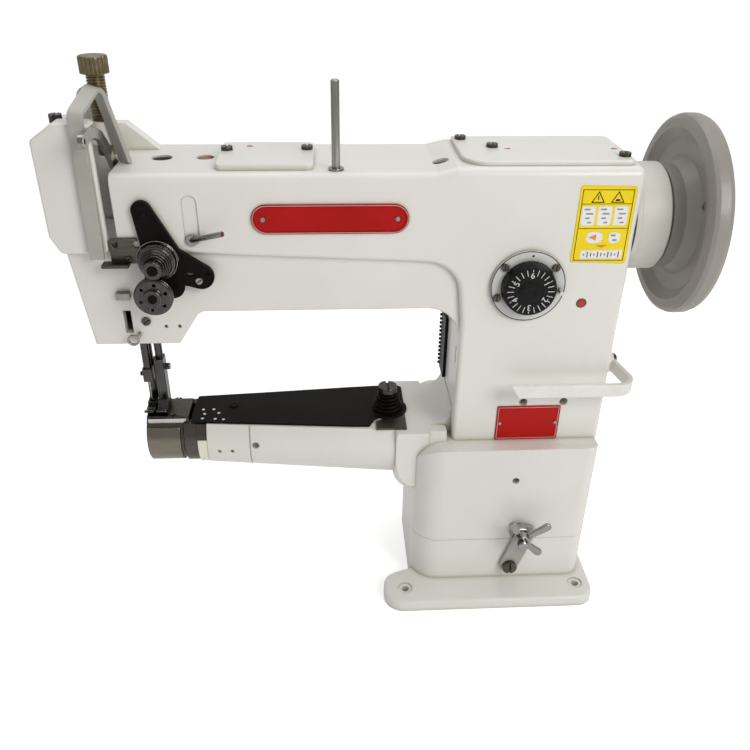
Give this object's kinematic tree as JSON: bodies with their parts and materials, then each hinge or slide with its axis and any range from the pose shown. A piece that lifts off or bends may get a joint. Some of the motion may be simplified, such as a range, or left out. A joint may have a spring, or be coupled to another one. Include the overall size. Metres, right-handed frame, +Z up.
{
  "type": "leather sewing machine",
  "caption": "Cylinder-arm walking-foot sewing machine head for leather, with a hollow pedestal, handwheel, stitch dial, reverse lever and thread take-up.",
  "frame": {"origin": "On the underside of the base, midway between the two front bolt holes in X and on the machine's centre plane in Y.", "axes": "+X runs along both arms towards the handwheel, +Y points away from the operator, +Z is up."},
  "size_m": [0.479, 0.173, 0.451],
  "materials": {
    "enamel": "satin",
    "cream": "satin",
    "taupe": "satin",
    "guard_grey": "satin",
    "black_paint": "satin",
    "red_plate": "gloss",
    "yellow_label": "gloss",
    "steel": "brushed",
    "dark_steel": "brushed",
    "chrome": "polished",
    "brass": "satin",
    "bronze": "satin",
    "aluminium": "satin",
    "belt_rubber": "matte",
    "dial_white": "matte",
    "dial_black": "satin",
    "lever_white": "gloss"
  },
  "bodies": {
    "base": {"pedestal_base": "enamel", "tilt_hinge_pin": "steel", "latch_pivot_screw": "dark_steel"},
    "latch": {"latch_strap": "guard_grey"},
    "wing_nut_body": {"wing_nut": "chrome"},
    "main_shaft_body": {"main_shaft": "steel", "handwheel": "taupe", "upper_pulley": "aluminium"},
    "lower_shaft_body": {"lower_shaft": "steel", "lower_pulley": "aluminium"},
    "hook_body": {"hook": "chrome"},
    "bobbin_body": {"bobbin": "aluminium"},
    "hook_cover_body": {"hook_cover": "steel"},
    "arm_plate_body": {"arm_top_plate": "black_paint"},
    "needle_bar_body": {"needle_bar": "chrome", "needle": "chrome"},
    "inner_foot_body": {"inner_foot": "chrome"},
    "outer_foot_body": {"outer_foot": "chrome"},
    "feed_body": {"feed_dog": "chrome"},
    "take_up_body": {"take_up_lever": "chrome"},
    "pressure_screw_body": {"pressure_screw": "brass"},
    "tension_knob_body": {"tension_knob": "chrome"},
    "thread_wheel_body": {"thread_wheel": "steel"},
    "dial_body": {"dial_knob": "dial_black"},
    "reverse_lever_body": {"reverse_lever": "lever_white"},
    "foot_lifter_body": {"foot_lifter": "chrome"},
    "head": {"clamp_stud": "chrome", "bed_casting": "enamel", "nose_shell": "dark_steel", "cream_ring": "cream", "needle_plate": "dark_steel", "plate_screws": "dark_steel", "bobbin_case": "steel", "pivot_block": "dark_steel", "plate_stud": "dark_steel", "plate_spring": "black_paint", "arm_casting": "enamel", "face_cover": "enamel", "spring_bracket": "enamel", "top_cover_left": "enamel", "top_cover_right": "enamel", "cover_screws": "dark_steel", "oil_plugs": "black_paint", "spool_pin": "chrome", "nameplate": "red_plate", "model_plate": "red_plate", "plate_rivets": "chrome", "info_label": "yellow_label", "column_side_cover": "black_paint", "shaft_housing": "enamel", "shaft_bushes": "bronze", "bar_bushes": "bronze", "timing_belt": "belt_rubber", "take_up_guard": "guard_grey", "thread_guide_plate": "dark_steel", "thread_guides": "chrome", "tension_bracket": "black_paint", "tension_discs": "chrome", "dial_ring": "dial_white", "pivot_pins": "steel"}
  },
  "joints": [
    {"name": "head_tilt", "type": "hinge", "parent": "base", "child": "head", "pos_m": [0, 0.07, 0.056], "axis": [-1, 0, 0], "range_deg": [0, 75]},
    {"name": "latch_swing", "type": "hinge", "parent": "base", "child": "latch", "pos_m": [0.0168, -0.06, 0.0274], "axis": [0, 1, 0], "range_deg": [0, 65]},
    {"name": "wing_nut_turn", "type": "hinge", "parent": "head", "child": "wing_nut_body", "pos_m": [0.021, -0.075, 0.07], "axis": [0, 1, 0], "continuous": true},
    {"name": "handwheel_spin", "type": "hinge", "parent": "head", "child": "main_shaft_body", "pos_m": [0.1, 0, 0.3354], "axis": [1, 0, 0], "continuous": true},
    {"name": "lower_shaft_spin", "type": "hinge", "parent": "head", "child": "lower_shaft_body", "pos_m": [0, 0.0093, 0.134], "axis": [1, 0, 0], "continuous": true},
    {"name": "hook_spin", "type": "hinge", "parent": "head", "child": "hook_body", "pos_m": [-0.283, -0.003, 0.15], "axis": [0, 0, 1], "continuous": true},
    {"name": "bobbin_spin", "type": "hinge", "parent": "head", "child": "bobbin_body", "pos_m": [-0.283, -0.003, 0.152], "axis": [0, 0, 1], "continuous": true},
    {"name": "hook_cover_swing", "type": "hinge", "parent": "head", "child": "hook_cover_body", "pos_m": [-0.2845, 0.006, 0.1167], "axis": [1, 0, 0], "range_deg": [0, 75]},
    {"name": "arm_plate_swing", "type": "hinge", "parent": "head", "child": "arm_plate_body", "pos_m": [-0.093, -0.004, 0.163], "axis": [0, 0, 1], "range_deg": [-25, 0]},
    {"name": "needle_bar_slide", "type": "slide", "parent": "head", "child": "needle_bar_body", "axis": [0, 0, 1], "range_m": [-0.014, 0.02]},
    {"name": "inner_foot_slide", "type": "slide", "parent": "head", "child": "inner_foot_body", "axis": [0, 0, 1], "range_m": [0, 0.01]},
    {"name": "outer_foot_slide", "type": "slide", "parent": "head", "child": "outer_foot_body", "axis": [0, 0, 1], "range_m": [0, 0.012]},
    {"name": "feed_slide", "type": "slide", "parent": "head", "child": "feed_body", "axis": [0, 1, 0], "range_m": [-0.003, 0.003]},
    {"name": "take_up_swing", "type": "hinge", "parent": "head", "child": "take_up_body", "pos_m": [-0.29, 0.012, 0.364], "axis": [1, 0, 0], "range_deg": [0, 40]},
    {"name": "pressure_screw_turn", "type": "hinge", "parent": "head", "child": "pressure_screw_body", "pos_m": [-0.3, 0.001, 0.42], "axis": [0, 0, 1], "continuous": true},
    {"name": "tension_knob_turn", "type": "hinge", "parent": "head", "child": "tension_knob_body", "pos_m": [-0.264, -0.063, 0.32], "axis": [0, 1, 0], "continuous": true},
    {"name": "thread_wheel_spin", "type": "hinge", "parent": "head", "child": "thread_wheel_body", "pos_m": [-0.2675, -0.059, 0.297], "axis": [0, 1, 0], "continuous": true},
    {"name": "stitch_dial_turn", "type": "hinge", "parent": "head", "child": "dial_body", "pos_m": [0.0081, -0.05, 0.2956], "axis": [0, 1, 0], "range_deg": [0, 300]},
    {"name": "reverse_lever_press", "type": "hinge", "parent": "head", "child": "reverse_lever_body", "pos_m": [0.093, -0.014, 0.212], "axis": [1, 0, 0], "range_deg": [0, 15], "stiffness_Nm_per_rad": 2.5, "springref_deg": -11.46},
    {"name": "foot_lifter_turn", "type": "hinge", "parent": "head", "child": "foot_lifter_body", "pos_m": [-0.262, 0.045, 0.292], "axis": [0, -1, 0], "range_deg": [0, 35]}
  ],
  "couplings": [
    {"joint": "lower_shaft_spin", "follows": "handwheel_spin", "ratio": 1},
    {"joint": "hook_spin", "follows": "handwheel_spin", "ratio": 2}
  ]
}
